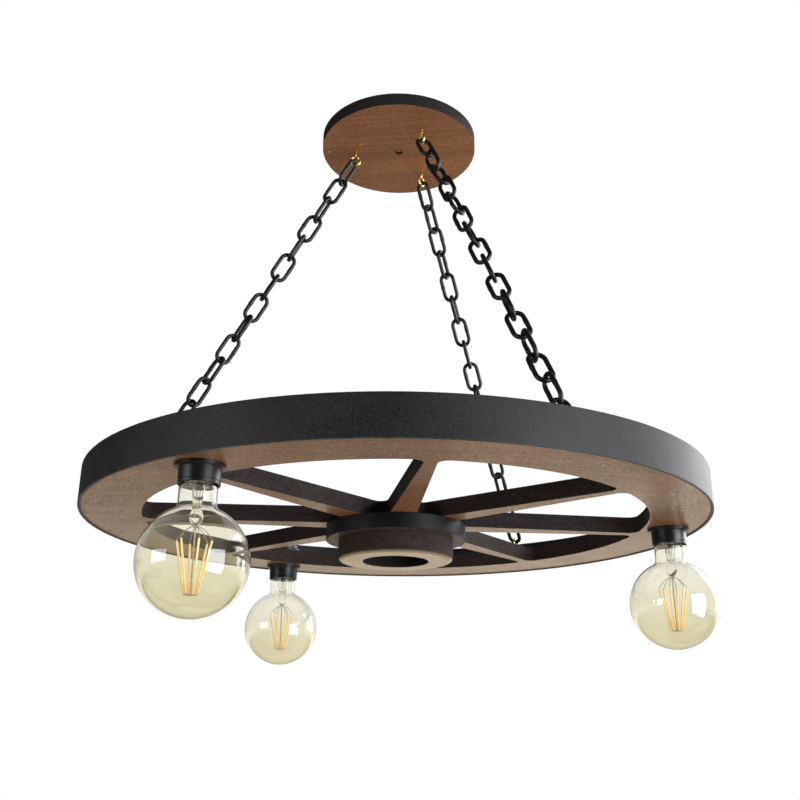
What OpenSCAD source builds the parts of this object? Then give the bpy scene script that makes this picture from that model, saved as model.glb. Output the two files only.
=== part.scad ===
// Wagon wheel chandelier: a wooden wheel in a steel tyre hangs on three chains from a round
// ceiling plate and carries three lamp holders with clear amber globe bulbs.
// Millimetres, +Z up. The origin is the centre of the ceiling plate's top face, so all else
// lies below it. Angles run from +X, turning toward +Y.

/* [Ceiling plate] */
// Diameter of the round wooden plate under the ceiling
canopy_d = 194; // [176:1:240]
// Thickness of the ceiling plate
canopy_t = 16; // [15:0.5:24]
// Diameter of the circle on which the three screw eyes of the ceiling plate stand
canopy_hook_circle = 110; // [104:1:140]
// Height of the ceiling screw's shank above the plate
ceiling_screw_out = 30; // [15:1:50]

/* [Chains] */
// Direction of the first chain seen from the middle
chain_turn_1 = 56; // [50:1:62]
// Direction of the second chain
chain_turn_2 = 179.5; // [174:0.5:186]
// Direction of the third chain
chain_turn_3 = 300; // [294:1:306]
// Number of links in each chain
chain_links = 16; // [12:1:24]
// Outer length of a link
link_l = 40.9; // [36:0.1:46]
// Outer width of a link
link_w = 21.5; // [20:0.1:25]
// Thickness of the link's wire
link_wire = 4.8; // [3.6:0.1:5]

/* [Screw eyes] */
// Radius of the ring's centre line
eye_r = 6; // [5.9:0.1:8]
// Thickness of the brass wire
eye_wire = 2.6; // [2:0.1:3]
// Height of the ring's centre over the wood
eye_rise = 14; // [10:0.5:18]
// Depth of the shank in the wood
eye_shank_l = 12; // [8:0.5:13]

/* [Wheel] */
// Diameter over the steel tyre
wheel_d = 674; // [604:1:764]
// Width of the rim, with the tyre
rim_w = 63.5; // [58:0.5:72]
// Distance of the rim's screw eyes from the tyre's outside
rim_hook_in = 37; // [32:0.5:46]
// Thickness of the wooden wheel
plate_t = 18; // [16:0.5:22]
// Number of spokes
spoke_count = 8; // [6:1:9]
// Direction of the first spoke
spoke_turn = 5.7; // [0:0.1:10]
// Width of a spoke beside the hub
spoke_hub_w = 28; // [22:0.5:32]
// Width of a spoke at the rim
spoke_rim_w = 11.5; // [9:0.5:18]

/* [Tyre] */
// Height of the tyre
tyre_h = 38.5; // [30:0.5:44]
// How far the tyre stands below the wood
tyre_lip = 1; // [0:0.5:3]
// Thickness of the tyre
tyre_t = 3; // [2:0.5:4]

/* [Hub] */
// Diameter of the upper hub disc, with its steel band
hub_disc_d = 154; // [146:1:170]
// Thickness of the upper hub disc
hub_disc_t = 16; // [12:0.5:20]
// Diameter of the lower hub disc
hub_boss_d = 126; // [120:1:136]
// Thickness of the lower hub disc
hub_boss_t = 22.5; // [16:0.5:28]
// Diameter of the axle hole
axle_d = 72; // [64:1:76]

/* [Lamps] */
// Direction of the first lamp seen from the middle
lamp_turn_1 = -0.8; // [-8:0.1:8]
// Direction of the second lamp
lamp_turn_2 = 119.8; // [112:0.1:128]
// Direction of the third lamp
lamp_turn_3 = 235.5; // [228:0.1:244]
// Distance of a lamp's middle from the tyre's outside
lamp_in = 35; // [28:0.5:40]
// Diameter of the lamp holder's body
holder_d = 37; // [36.5:0.5:40]
// Length of the holder below the wheel
holder_drop = 18.5; // [18:0.5:20]
// Diameter of the bulb's globe
globe_d = 95; // [80:1:110]
// Length of the bulb from the tip of its cap to the bottom of its globe
bulb_l = 140; // [130:1:150]
// Diameter of the bulb's glass neck
neck_d = 33.4; // [32:0.1:34]

/* [Hidden] */
lamp_turns = [lamp_turn_1, lamp_turn_2, lamp_turn_3];
lamp_count = len(lamp_turns);
chain_turns = [chain_turn_1, chain_turn_2, chain_turn_3];
chain_count = len(chain_turns);
seat_gap = 0.1;      // clearance on the radius where fixed pieces sit in each other
run_gap = 0.4;       // clearance on the radius where a bulb slides in its holder
link_gap = 0.3;      // clearance between links, and between a link and a ceiling eye
sway_gap = 0.9;      // clearance between the last link and its eye on the wheel
cut = 1;             // how far a cutter runs past the face that it cuts

// Chains: ring centre to ring centre along the chain, and the heights that follow from it
canopy_hook_r = canopy_hook_circle / 2;
tyre_inner_r = wheel_d / 2 - tyre_t;
plate_r = tyre_inner_r - seat_gap;
rim_inner_r = wheel_d / 2 - rim_w;
rim_hook_r = wheel_d / 2 - rim_hook_in;
link_pitch = link_l - 2 * link_wire - link_gap;
link_arc_r = (link_w - link_wire) / 2;
first_link = eye_r - eye_wire / 2 - link_gap - link_wire / 2;
last_link = eye_r - eye_wire / 2 - sway_gap - link_wire / 2;
chain_l = chain_links * link_pitch + link_wire + link_gap + first_link + last_link;
chain_out = rim_hook_r - canopy_hook_r;
chain_drop = sqrt(chain_l * chain_l - chain_out * chain_out);
chain_lean = atan2(chain_out, chain_drop);
link_twist = 180 * round((chain_links - 1) / 2) / (chain_links - 1);
first_link_turn = [-15, -12, -10];  // how far each chain's first link stands off square to its eye
canopy_eye_z = -canopy_t - eye_rise;
rim_eye_z = canopy_eye_z - chain_drop;
plate_top_z = rim_eye_z - eye_rise;
wheel_z = plate_top_z - plate_t;   // the wheel's underside

// Ceiling plate: its screw, pocket and terminal block
screw_d = 4.5;       // the free shank above the plate
screw_neck_d = 5;    // the shank inside the plate
screw_head_d = 8.6;
screw_head_h = 3;
screw_tip_h = 2;
screw_hole_d = screw_neck_d + 4 * seat_gap;
screw_sink_d = 10.4;
screw_sink_h = 6;
washer_d = 10;
washer_t = 1;
slot_w = 1.2;
slot_h = 1.2;
pocket_d = 42;
pocket_h = 10;
pocket_r = 36;       // distance of the pocket's centre from the middle
pocket_turn = (chain_turn_1 + chain_turn_2) / 2;
block_l = 26;
block_w = 15;
block_h = 8.5;
block_poles = 2;
block_pole_pitch = 11;
block_wire_d = 4;
block_clamp_d = 3.6;
block_screw_d = 2.4;
block_head_d = 3.4;
block_head_h = 1.2;
block_bite = 3;      // how deep the block's screws go into the plate
pin_in = 7;          // distance of the small brass pin from the plate's edge
pin_r = canopy_d / 2 - pin_in;
pin_turn = 179;
pin_d = 1.4;
pin_l = 9;
pin_head_d = 3;
pin_head_h = 0.8;

// Screw eyes
eye_neck_d = eye_wire + 0.6;
eye_tip_h = 2;
eye_hole_d = eye_wire + 2 * seat_gap;

// Wheel windows, worked out for one window whose middle line is +X
corner_r = 10;       // radius of a window's corners at the rim
root_r = 8;          // radius of a window's inner end
root_spoke_at = 70;  // where the spoke's width beside the hub is measured
round_over = 0.02;   // how far a window's rounds stand past its sides, so that they cross
half_window = 180 / spoke_count;
spoke_slope = (spoke_hub_w - spoke_rim_w) / 2 / (rim_inner_r - root_spoke_at);
edge_turn = half_window + atan(spoke_slope);
edge_off = (spoke_hub_w / 2 + spoke_slope * root_spoke_at) * cos(atan(spoke_slope));
root_x = (edge_off + root_r) / sin(edge_turn);
corner_x = sqrt(pow(rim_inner_r - corner_r, 2) - pow(edge_off + corner_r, 2));
corner_at = turned([corner_x, -edge_off - corner_r], edge_turn);
corner_touch = turned([corner_x, -edge_off], edge_turn);
root_touch = turned([root_x * cos(edge_turn), -edge_off], edge_turn);

// Hub
hub_band_t = 1.5;
hub_disc_r = hub_disc_d / 2 - hub_band_t - seat_gap;
boss_round = 5;
hub_screw_count = 4;
hub_screw_r = 44;
hub_screw_d = 4;
hub_screw_head_d = 8;
hub_screw_head_h = 2.6;
hub_screw_l = 44;
hub_screw_tip_h = 3;

// Lamp holders, in heights over the wheel's underside
lamp_r = wheel_d / 2 - lamp_in;
holder_hole_d = holder_d + 4 * seat_gap;
holder_wall = 2;
holder_top = 28;
holder_round = 3;
mouth_d = neck_d + 2 * run_gap;
mouth_h = 5;
cap_d = 26.2;
shell_wall = 0.5;
shell_inner_r = cap_d / 2 + run_gap;
shell_outer_r = shell_inner_r + shell_wall;
shell_base = -holder_drop + mouth_h;
ring_d = 44.5;
ring_h = 3.6;
nut_h = 4;
entry_d = 12;        // the neck on top, where a lead would come in
entry_h = 5;
entry_bore = 7;
plug_h = 4;          // ceramic disc that carries the centre contact
contact_d = 9;
contact_t = 0.8;
contact_post_d = 3;
contact_post_h = 1.2;

// Bulbs, in heights over the wheel's underside
cap_h = 27;
cap_seat = 1;        // how far the cap's lower edge stands inside the mouth
tip_z = cap_h + cap_seat - holder_drop;
cap_base_z = tip_z - cap_h;
globe_z = tip_z - bulb_l + globe_d / 2;
tip_h = 1.6;
tip_d = 9.6;
base_h = 4.4;
base_top_d = 11;
base_plug_h = 2;     // how deep the black cone stands in the cap
cap_wall = 0.6;
cap_top_z = tip_z - tip_h - base_h;
thread_pitch = 3.6;
thread_count = 4;
thread_r = 1.1;
glass_t = 0.8;
neck_round = 6;      // fillet between neck and globe
shoulder_r = 4.2;    // round shoulder where the neck meets the cap
plug_l = 6;          // how deep the glass stands in the cap
plug_r = cap_d / 2 - cap_wall - thread_r - seat_gap;
neck_dz = sqrt(pow(globe_d / 2 + neck_round, 2) - pow(neck_d / 2 + neck_round, 2));
contact_z = tip_z + run_gap;
plug_z = contact_z + contact_t + contact_post_h;

// Glass stem, wires and filaments, in heights over the globe's centre
stem_r = 5.4;
stem_waist_r = 3.6;
stem_pinch_r = 6;
stem_end_r = 2.6;
stem_pinch_z = 37;
stem_end_z = 30;
stem_flange_t = 1.5;
filament_count = 6;
filament_d = 1.9;
filament_top = [15, 17];     // radius and height of a filament's upper end
filament_low = [6, -26];
wire_d = 0.7;
wire_stub = 1.2;
bead_d = 1.2;        // the welds between thin wires
post_d = 1.4;
hub_bead_d = 2.6;    // the welds on the middle post
filament_lean = atan2(filament_top[0] - filament_low[0], filament_top[1] - filament_low[1]);
filament_l = norm(filament_top - filament_low);
post_low_z = -27.5;

wood_under = [0.55, 0.41, 0.33];
wood_dark = [0.24, 0.17, 0.15];
steel = [0.22, 0.23, 0.25];
chain_black = [0.06, 0.06, 0.06];
brass = [0.86, 0.66, 0.32];
bakelite = [0.07, 0.07, 0.07];
nickel = [0.78, 0.77, 0.74];
ceramic = [0.93, 0.92, 0.88];
amber_glass = [0.95, 0.84, 0.55, 0.45];
filament_yellow = [0.98, 0.80, 0.38];

$fn = 96;

// ---- Helpers ----

// A 2-D point turned about the origin
function turned(p, a) = [p[0] * cos(a) - p[1] * sin(a), p[0] * sin(a) + p[1] * cos(a)];

// A point's mirror image below the X axis
function below(p) = [p[0], -p[1]];

function lamp_at(k) = lamp_turns[k - 1];

// A round rod from point a to point b
module rod(a, b, d) {
    v = b - a;
    translate(a)
        rotate([0, acos(v[2] / norm(v)), atan2(v[1], v[0])])
            cylinder(d = d, h = norm(v), $fn = 24);
}

// A tube standing on the XY plane
module tube(outer_r, inner_r, h) {
    difference() {
        cylinder(r = outer_r, h = h);
        translate([0, 0, -cut]) cylinder(r = inner_r, h = h + 2 * cut);
    }
}

// ---- Ceiling plate ----

module at_pocket() {
    rotate(pocket_turn) translate([pocket_r, 0, -pocket_h]) children();
}

module block_screw_places() {
    for (side = [-1, 1]) translate([0, side * block_l / 2 - side * block_screw_d, 0]) children();
}

module canopy_disc() {
    color(wood_under) difference() {
        translate([0, 0, -canopy_t]) cylinder(d = canopy_d, h = canopy_t, $fn = 180);
        translate([0, 0, -canopy_t - cut]) cylinder(d = screw_hole_d, h = canopy_t + 2 * cut);
        translate([0, 0, -canopy_t - cut]) cylinder(d = screw_sink_d, h = screw_sink_h + cut);
        at_pocket() cylinder(d = pocket_d, h = pocket_h + cut);
        at_pocket() block_screw_places()
            translate([0, 0, -block_bite]) cylinder(d = block_screw_d + seat_gap, h = pocket_h);
        for (k = [1 : chain_count])
            rotate(chain_turns[k - 1]) translate([canopy_hook_r, 0, -canopy_t - cut])
                cylinder(d = eye_hole_d, h = eye_shank_l + cut + seat_gap);
        rotate(pin_turn) translate([pin_r, 0, -canopy_t - cut])
            cylinder(d = pin_d + 2 * seat_gap, h = pin_l + cut + seat_gap);
    }
}

// The screw through the middle that holds the plate to the ceiling
module canopy_screw() {
    seat_z = screw_sink_h - canopy_t - washer_t;
    tip_base = ceiling_screw_out - screw_tip_h;
    color(brass) {
        cylinder(d = screw_d, h = tip_base);
        translate([0, 0, tip_base]) cylinder(d1 = screw_d, d2 = screw_d / 4, h = screw_tip_h);
        translate([0, 0, seat_z]) cylinder(d = screw_neck_d, h = -seat_z);
        difference() {
            translate([0, 0, seat_z - screw_head_h]) cylinder(d = screw_head_d, h = screw_head_h);
            translate([-screw_head_d, -slot_w / 2, seat_z - screw_head_h - cut])
                cube([2 * screw_head_d, slot_w, slot_h + cut]);
        }
    }
}

module canopy_washer() {
    color(brass) translate([0, 0, screw_sink_h - canopy_t - washer_t])
        tube(washer_d / 2, screw_hole_d / 2, washer_t);
}

// A small brass panel pin near the plate's edge
module canopy_pin() {
    color(brass) rotate(pin_turn) translate([pin_r, 0, -canopy_t]) {
        cylinder(d = pin_d, h = pin_l);
        translate([0, 0, -pin_head_h]) cylinder(d = pin_head_d, h = pin_head_h);
    }
}

// The connector block for the supply, in the pocket above the plate
module terminal_block() {
    color(ceramic) at_pocket() difference() {
        translate([-block_w / 2, -block_l / 2, 0]) cube([block_w, block_l, block_h]);
        for (pole = [0 : block_poles - 1])
            translate([0, (pole - (block_poles - 1) / 2) * block_pole_pitch, 0]) {
                translate([-block_w, 0, block_h / 3]) rotate([0, 90, 0])
                    cylinder(d = block_wire_d, h = 2 * block_w);
                translate([block_w / 4, 0, block_h / 3]) cylinder(d = block_clamp_d, h = block_h);
                translate([-block_w / 4, 0, block_h / 3]) cylinder(d = block_clamp_d, h = block_h);
            }
        block_screw_places() translate([0, 0, -cut])
            cylinder(d = block_screw_d + 2 * seat_gap, h = block_h + 2 * cut);
    }
}

module terminal_screws() {
    color(brass) at_pocket() block_screw_places() {
        translate([0, 0, -block_bite]) cylinder(d = block_screw_d, h = block_bite + block_h);
        translate([0, 0, block_h]) cylinder(d = block_head_d, h = block_head_h);
    }
}

// ---- Chains and screw eyes ----

// One screw eye standing on z = 0, with its ring in the XZ plane
module screw_eye() {
    translate([0, 0, eye_rise]) rotate([90, 0, 0])
        rotate_extrude($fn = 48) translate([eye_r, 0]) circle(d = eye_wire, $fn = 32);
    cylinder(d = eye_neck_d, h = eye_rise - eye_r);
    translate([0, 0, -eye_shank_l + eye_tip_h]) cylinder(d = eye_wire, h = eye_shank_l - eye_tip_h);
    translate([0, 0, -eye_shank_l]) cylinder(d1 = eye_wire / 4, d2 = eye_wire, h = eye_tip_h);
}

module canopy_eye(k) {
    color(brass) rotate(chain_turns[k - 1]) translate([canopy_hook_r, 0, -canopy_t])
        mirror([0, 0, 1]) screw_eye();
}

module rim_eye(k) {
    color(brass) rotate(chain_turns[k - 1]) translate([rim_hook_r, 0, plate_top_z]) screw_eye();
}

// One oval link in the XZ plane with its long way along Z
module oval_link() {
    side_l = link_l - link_w;
    for (end = [0, 1]) mirror([0, 0, end]) translate([0, 0, side_l / 2]) rotate([90, 0, 0])
        rotate_extrude(angle = 180, $fn = 48) translate([link_arc_r, 0])
            circle(d = link_wire, $fn = 32);
    for (side = [-1, 1]) translate([side * link_arc_r, 0, 0])
        cylinder(d = link_wire, h = side_l, center = true, $fn = 32);
}

// A chain from its ceiling eye to its eye on the rim; the first link stands across the ring
module chain(k) {
    color(chain_black) rotate(chain_turns[k - 1]) translate([canopy_hook_r, 0, canopy_eye_z])
        rotate([0, -chain_lean, 0])
            for (i = [0 : chain_links - 1])
                translate([0, 0, -first_link - i * link_pitch - (link_l - link_wire) / 2])
                    rotate(90 + first_link_turn[k - 1] + i * link_twist) oval_link();
}

// ---- Wheel ----

// The outline of one window: a slot between two spokes with round ends and corners
module window_outline() {
    reach = 1.2;
    polygon([[root_x, 0], root_touch, corner_touch, corner_at,
        below(corner_at), below(corner_touch), below(root_touch)]);
    translate([root_x, 0]) circle(r = root_r + round_over, $fn = 48);
    for (side = [0, 1]) mirror([0, side]) translate(corner_at)
        circle(r = corner_r + round_over, $fn = 48);
    intersection() {
        circle(r = rim_inner_r, $fn = 240);
        polygon([corner_at, reach * corner_at, [reach * rim_inner_r, 0],
            reach * below(corner_at), below(corner_at)]);
    }
}

module wheel_plate() {
    color(wood_under) translate([0, 0, wheel_z]) difference() {
        cylinder(r = plate_r, h = plate_t, $fn = 240);
        for (i = [0 : spoke_count - 1])
            rotate(spoke_turn + half_window + i * 360 / spoke_count)
                translate([0, 0, -cut]) linear_extrude(plate_t + 2 * cut) window_outline();
        for (k = [1 : lamp_count])
            rotate(lamp_at(k)) translate([lamp_r, 0, -cut])
                cylinder(d = holder_hole_d, h = plate_t + 2 * cut);
        for (k = [1 : chain_count])
            rotate(chain_turns[k - 1]) translate([rim_hook_r, 0, plate_t - eye_shank_l - seat_gap])
                cylinder(d = eye_hole_d, h = eye_shank_l + cut);
        hub_screw_places() {
            translate([0, 0, -cut]) cylinder(d = hub_screw_d + 2 * seat_gap, h = plate_t + 2 * cut);
            translate([0, 0, plate_t - hub_screw_head_h - seat_gap])
                cylinder(d = hub_screw_head_d + 4 * seat_gap, h = hub_screw_head_h + cut);
        }
    }
}

// The steel tyre stands past the wood above and below
module tyre_band() {
    color(steel) translate([0, 0, wheel_z - tyre_lip]) difference() {
        cylinder(d = wheel_d, h = tyre_h, $fn = 240);
        translate([0, 0, -cut]) cylinder(r = tyre_inner_r, h = tyre_h + 2 * cut, $fn = 240);
    }
}

// ---- Hub ----

module hub_screw_places() {
    for (i = [0 : hub_screw_count - 1])
        rotate(spoke_turn + i * 360 / hub_screw_count) translate([hub_screw_r, 0, 0]) children();
}

module hub_disc() {
    color(wood_dark) translate([0, 0, wheel_z - hub_disc_t]) difference() {
        tube(hub_disc_r, axle_d / 2, hub_disc_t);
        hub_screw_places() translate([0, 0, -cut])
            cylinder(d = hub_screw_d + 2 * seat_gap, h = hub_disc_t + 2 * cut);
    }
}

module hub_band() {
    color(steel) translate([0, 0, wheel_z - hub_disc_t])
        tube(hub_disc_d / 2, hub_disc_r + seat_gap, hub_disc_t);
}

// The lower disc, with a rounded lower edge
module hub_boss() {
    r = hub_boss_d / 2;
    color(wood_dark) translate([0, 0, wheel_z - hub_disc_t - hub_boss_t]) difference() {
        rotate_extrude($fn = 180) {
            translate([axle_d / 2, 0]) square([r - boss_round - axle_d / 2, hub_boss_t]);
            translate([r - boss_round, boss_round]) square([boss_round, hub_boss_t - boss_round]);
            intersection() {
                translate([r - boss_round, 0]) square(boss_round);
                translate([r - boss_round, boss_round]) circle(r = boss_round, $fn = 64);
            }
        }
        hub_screw_places() translate([0, 0, hub_disc_t + hub_boss_t + plate_t - hub_screw_l - seat_gap])
            cylinder(d = hub_screw_d + 2 * seat_gap, h = hub_screw_l);
    }
}

// Four screws from the top hold plate, disc and boss together
module hub_screws() {
    shank_l = hub_screw_l - hub_screw_head_h - hub_screw_tip_h;
    color(nickel) translate([0, 0, wheel_z + plate_t]) hub_screw_places() {
        difference() {
            translate([0, 0, -hub_screw_head_h]) cylinder(d = hub_screw_head_d, h = hub_screw_head_h);
            for (turn = [0, 90]) rotate(turn)
                translate([-hub_screw_head_d / 3, -slot_w / 2, -slot_h])
                    cube([2 * hub_screw_head_d / 3, slot_w, slot_h + cut]);
        }
        translate([0, 0, -hub_screw_head_h - shank_l]) cylinder(d = hub_screw_d, h = shank_l);
        translate([0, 0, -hub_screw_l])
            cylinder(d1 = hub_screw_d / 4, d2 = hub_screw_d, h = hub_screw_tip_h);
    }
}

// ---- Lamp holders ----

module at_lamp(k) {
    rotate(lamp_at(k)) translate([lamp_r, 0, wheel_z]) children();
}

// The black body: a cup open at the bottom, with a neck on top
module holder_body(k) {
    r = holder_d / 2;
    color(bakelite) at_lamp(k) difference() {
        rotate_extrude() {
            translate([0, -holder_drop]) square([r, holder_top + holder_drop - holder_round]);
            translate([0, holder_top - holder_round]) square([r - holder_round, holder_round]);
            intersection() {
                translate([r - holder_round, holder_top - holder_round]) square(holder_round);
                translate([r - holder_round, holder_top - holder_round])
                    circle(r = holder_round, $fn = 48);
            }
            translate([0, holder_top]) square([entry_d / 2, entry_h]);
        }
        translate([0, 0, -holder_drop - cut]) cylinder(d = mouth_d, h = mouth_h + cut);
        translate([0, 0, -holder_drop]) cylinder(r = shell_outer_r + seat_gap,
            h = holder_drop + plug_z + plug_h);
        translate([0, 0, plug_z + plug_h - cut])
            cylinder(r = shell_outer_r - holder_wall, h = holder_top - holder_wall - plug_z - plug_h + cut);
        cylinder(d = entry_bore, h = holder_top + entry_h + cut);
    }
}

// The flange ring screwed up against the wheel's underside
module holder_ring(k) {
    color(bakelite) at_lamp(k) translate([0, 0, -ring_h])
        tube(ring_d / 2, holder_d / 2 + seat_gap, ring_h);
}

// The nut on the wheel's upper side
module holder_nut(k) {
    color(bakelite) at_lamp(k) translate([0, 0, plate_t])
        tube(ring_d / 2, holder_d / 2 + seat_gap, nut_h);
}

// The metal shell that the bulb's cap screws into, drawn as a smooth tube
module holder_shell(k) {
    color(brass) at_lamp(k) translate([0, 0, shell_base])
        tube(shell_outer_r, shell_inner_r, plug_z - shell_base);
}

module holder_plug(k) {
    color(ceramic) at_lamp(k) translate([0, 0, plug_z]) cylinder(r = shell_outer_r, h = plug_h);
}

module holder_contact(k) {
    color(brass) at_lamp(k) {
        translate([0, 0, contact_z]) cylinder(d = contact_d, h = contact_t, $fn = 48);
        translate([0, 0, contact_z + contact_t])
            cylinder(d = contact_post_d, h = plug_z - contact_z - contact_t, $fn = 32);
    }
}

// ---- Bulbs ----

// Half the glass's outline, drawn in by inset: globe, fillet, neck, shoulder and plug
module glass_outline(inset) {
    r = globe_d / 2 - inset;
    n = neck_d / 2 - inset;
    f = neck_round + inset;
    s = shoulder_r - inset;
    shoulder_z = cap_base_z - globe_z - shoulder_r;
    intersection() {
        circle(r = r, $fn = 180);
        translate([0, -r]) square([r, 2 * r]);
    }
    difference() {
        polygon([[0, 0], [n + f, neck_dz] * r / (r + f), [n + f, neck_dz], [0, neck_dz]]);
        translate([n + f, neck_dz]) circle(r = f, $fn = 64);
    }
    translate([0, neck_dz]) square([n, shoulder_z - neck_dz]);
    translate([0, shoulder_z]) square([n - s, s]);
    intersection() {
        translate([n - s, shoulder_z]) square(s);
        translate([n - s, shoulder_z]) circle(r = s, $fn = 48);
    }
    translate([0, shoulder_z + s]) square([plug_r - inset, plug_l + inset]);
}

module at_globe(k) {
    at_lamp(k) translate([0, 0, globe_z]) children();
}

module bulb_glass(k) {
    color(amber_glass) at_globe(k) rotate_extrude($fn = 180) difference() {
        glass_outline(0);
        glass_outline(glass_t);
    }
}

// The metal cap: a thin shell with a rounded thread, drawn as rings
module bulb_cap(k) {
    outer = cap_d / 2 - thread_r;
    color(nickel) at_lamp(k) rotate_extrude() difference() {
        union() {
            translate([outer - cap_wall, cap_base_z]) square([cap_wall, cap_top_z - cap_base_z]);
            for (i = [0 : thread_count - 1])
                translate([outer, cap_top_z - thread_pitch * (i + 0.5)]) circle(r = thread_r, $fn = 32);
        }
        translate([0, cap_base_z - cut]) square([outer - cap_wall, cap_h]);
    }
}

// The black glass cone between shell and tip
module bulb_base(k) {
    shell_r = cap_d / 2 - thread_r;
    color(bakelite) at_lamp(k) {
        translate([0, 0, cap_top_z]) cylinder(r1 = shell_r, r2 = base_top_d / 2, h = base_h);
        translate([0, 0, cap_top_z - base_plug_h])
            cylinder(r = shell_r - cap_wall - seat_gap, h = base_plug_h);
    }
}

module bulb_tip(k) {
    color(nickel) at_lamp(k) translate([0, 0, tip_z - tip_h])
        cylinder(d1 = tip_d, d2 = tip_d * 0.7, h = tip_h, $fn = 48);
}

// The glass stem: a flange in the plug, a tube, a pinch that grips the wires
module bulb_stem(k) {
    flange_z = cap_base_z + plug_l - globe_z - stem_flange_t;
    inner = plug_r - glass_t - seat_gap;
    color(amber_glass) at_globe(k) rotate_extrude()
        polygon([[0, stem_end_z], [stem_end_r, stem_end_z], [stem_pinch_r, stem_pinch_z],
            [stem_waist_r, stem_pinch_z + stem_pinch_r], [stem_r, flange_z - stem_r],
            [inner, flange_z], [inner, flange_z + stem_flange_t], [0, flange_z + stem_flange_t]]);
}

// Draws its children on the upper end of each filament, with -Z running down the filament
module on_filaments() {
    for (i = [0 : filament_count - 1])
        rotate(i * 360 / filament_count) translate([filament_top[0], 0, filament_top[1]])
            rotate([0, filament_lean, 0]) children();
}

module bulb_filaments(k) {
    color(filament_yellow) at_globe(k) on_filaments()
        translate([0, 0, -filament_l]) cylinder(d = filament_d, h = filament_l, $fn = 24);
}

// Support wires: from under the stem to each filament's top, and a star below the lower ends
module bulb_wires(k) {
    along = [sin(filament_lean), 0, cos(filament_lean)] * wire_stub;
    top = [filament_top[0], 0, filament_top[1]] + along;
    low = [filament_low[0], 0, filament_low[1]] - along;
    hub_top = [0, 0, stem_end_z - hub_bead_d / 2];
    hub_low = [0, 0, post_low_z];
    color(nickel) at_globe(k) {
        for (i = [0 : filament_count - 1]) rotate(i * 360 / filament_count) {
            rod(top - along, top, wire_d);
            rod(low + along, low, wire_d);
            rod(hub_top, top, wire_d);
            rod(hub_low, low, wire_d);
            for (p = [top, low]) translate(p) sphere(d = bead_d, $fn = 24);
        }
        rod(hub_low, hub_top, post_d);
        for (p = [hub_low, hub_top]) translate(p) sphere(d = hub_bead_d, $fn = 32);
    }
}

// ---- Nodes ----

canopy_disc();
canopy_screw();
canopy_washer();
canopy_pin();
terminal_block();
terminal_screws();
canopy_eye(1);  // canopy_eye_1
canopy_eye(2);  // canopy_eye_2
canopy_eye(3);  // canopy_eye_3
chain(1);  // chain_1
chain(2);  // chain_2
chain(3);  // chain_3
rim_eye(1);  // rim_eye_1
rim_eye(2);  // rim_eye_2
rim_eye(3);  // rim_eye_3
wheel_plate();
tyre_band();
hub_disc();
hub_band();
hub_boss();
hub_screws();
holder_body(1);  // holder_body_1
holder_body(2);  // holder_body_2
holder_body(3);  // holder_body_3
holder_ring(1);  // holder_ring_1
holder_ring(2);  // holder_ring_2
holder_ring(3);  // holder_ring_3
holder_nut(1);  // holder_nut_1
holder_nut(2);  // holder_nut_2
holder_nut(3);  // holder_nut_3
holder_shell(1);  // holder_shell_1
holder_shell(2);  // holder_shell_2
holder_shell(3);  // holder_shell_3
holder_plug(1);  // holder_plug_1
holder_plug(2);  // holder_plug_2
holder_plug(3);  // holder_plug_3
holder_contact(1);  // holder_contact_1
holder_contact(2);  // holder_contact_2
holder_contact(3);  // holder_contact_3
bulb_glass(1);  // bulb_glass_1
bulb_glass(2);  // bulb_glass_2
bulb_glass(3);  // bulb_glass_3
bulb_cap(1);  // bulb_cap_1
bulb_cap(2);  // bulb_cap_2
bulb_cap(3);  // bulb_cap_3
bulb_base(1);  // bulb_base_1
bulb_base(2);  // bulb_base_2
bulb_base(3);  // bulb_base_3
bulb_tip(1);  // bulb_tip_1
bulb_tip(2);  // bulb_tip_2
bulb_tip(3);  // bulb_tip_3
bulb_stem(1);  // bulb_stem_1
bulb_stem(2);  // bulb_stem_2
bulb_stem(3);  // bulb_stem_3
bulb_filaments(1);  // bulb_filaments_1
bulb_filaments(2);  // bulb_filaments_2
bulb_filaments(3);  // bulb_filaments_3
bulb_wires(1);  // bulb_wires_1
bulb_wires(2);  // bulb_wires_2
bulb_wires(3);  // bulb_wires_3
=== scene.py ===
from math import atan2, cos, pi, radians, sin, sqrt

import bmesh
import bpy
from bpy.props import FloatProperty, FloatVectorProperty, IntProperty, PointerProperty
from mathutils import Matrix, Vector


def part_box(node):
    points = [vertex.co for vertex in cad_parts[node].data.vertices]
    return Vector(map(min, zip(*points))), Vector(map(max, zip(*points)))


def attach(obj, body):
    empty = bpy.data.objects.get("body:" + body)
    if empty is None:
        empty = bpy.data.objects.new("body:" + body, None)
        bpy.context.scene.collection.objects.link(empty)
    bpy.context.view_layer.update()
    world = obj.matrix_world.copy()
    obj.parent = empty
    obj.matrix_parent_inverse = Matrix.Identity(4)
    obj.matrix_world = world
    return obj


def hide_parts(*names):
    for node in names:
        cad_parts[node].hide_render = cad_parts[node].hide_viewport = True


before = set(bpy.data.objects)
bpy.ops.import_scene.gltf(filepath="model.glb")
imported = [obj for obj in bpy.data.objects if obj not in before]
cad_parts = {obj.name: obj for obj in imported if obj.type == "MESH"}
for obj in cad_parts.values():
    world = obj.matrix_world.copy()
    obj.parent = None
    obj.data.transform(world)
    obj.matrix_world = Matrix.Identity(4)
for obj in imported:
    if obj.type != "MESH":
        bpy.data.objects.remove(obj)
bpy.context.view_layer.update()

bl_info = {
    "name": "Wagon wheel chandelier",
    "version": (1, 0, 0),
    "blender": (4, 5, 0),
    "location": "View3D > Sidebar > Chandelier",
    "description": "Dresses the packed frame of a wagon wheel chandelier and sets up its studio",
    "category": "Object",
}

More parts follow.
